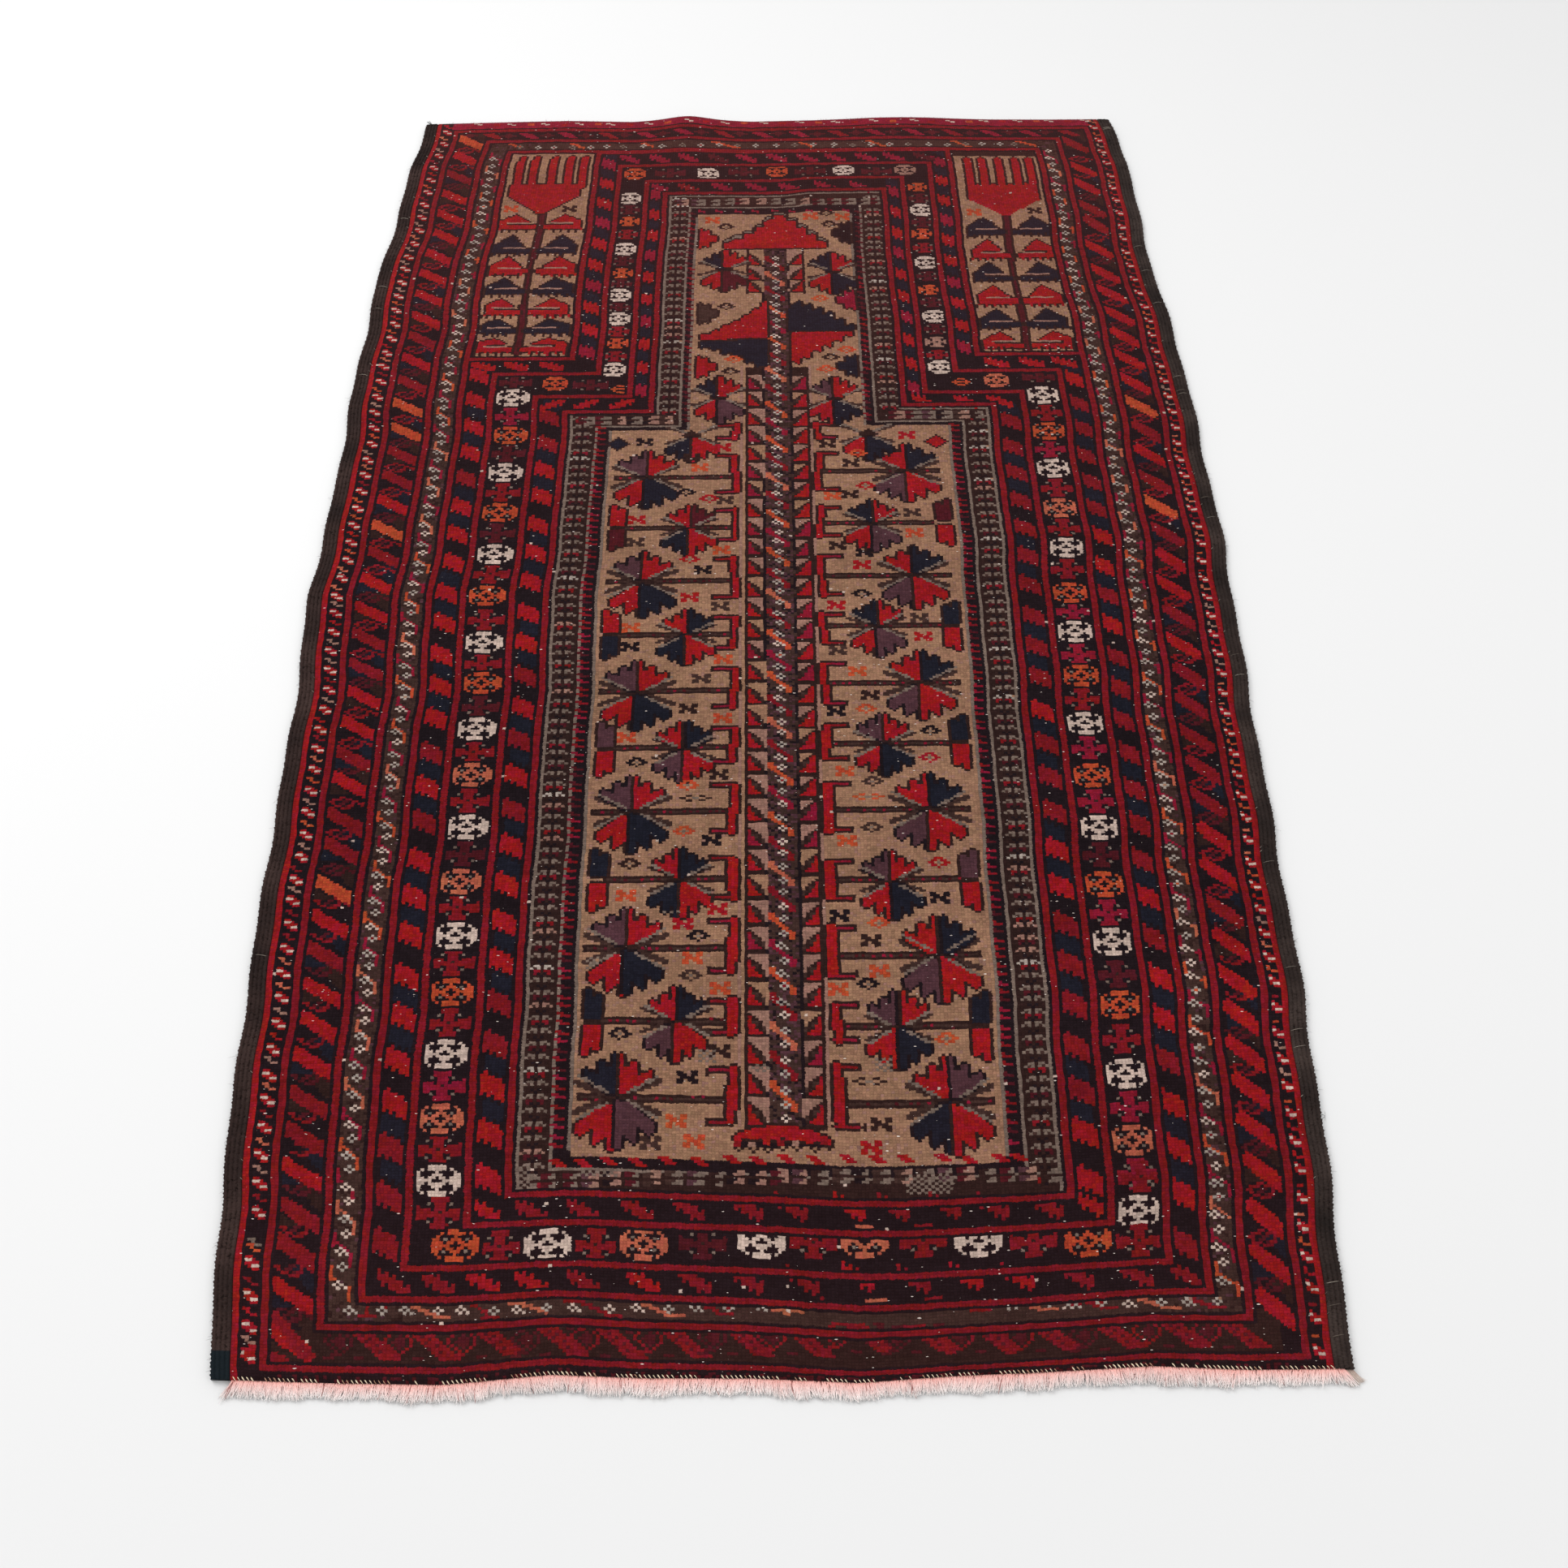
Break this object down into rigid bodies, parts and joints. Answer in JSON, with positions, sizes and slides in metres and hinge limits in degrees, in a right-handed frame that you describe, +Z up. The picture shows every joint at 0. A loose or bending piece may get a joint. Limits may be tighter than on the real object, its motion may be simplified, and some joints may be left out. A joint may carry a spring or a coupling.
{
  "type": "prayer rug",
  "caption": "Hand-knotted wool prayer rug laid out flat, with wrapped side selvedges, a short cut fringe at one end, a camel niche field and many narrow borders.",
  "frame": {"origin": "middle of the rug's outline, on the surface that it lies on", "axes": "+Y along the rug from the fringed end to the far end, +X across it to the right, +Z up through its thickness"},
  "size_m": [0.9244, 1.512, 0.0115],
  "materials": {
    "pile_wool": "matt cut wool pile, knotted in red, navy, camel, brown and ivory",
    "goat_hair": "wrapped dark brown goat hair cords",
    "warp_yarn": "pink-cream cut yarn fringe"
  },
  "bodies": {
    "root": {"rug_body": "pile_wool", "selvedge_left": "goat_hair", "selvedge_right": "goat_hair", "near_fringe": "warp_yarn"}
  },
  "joints": []
}
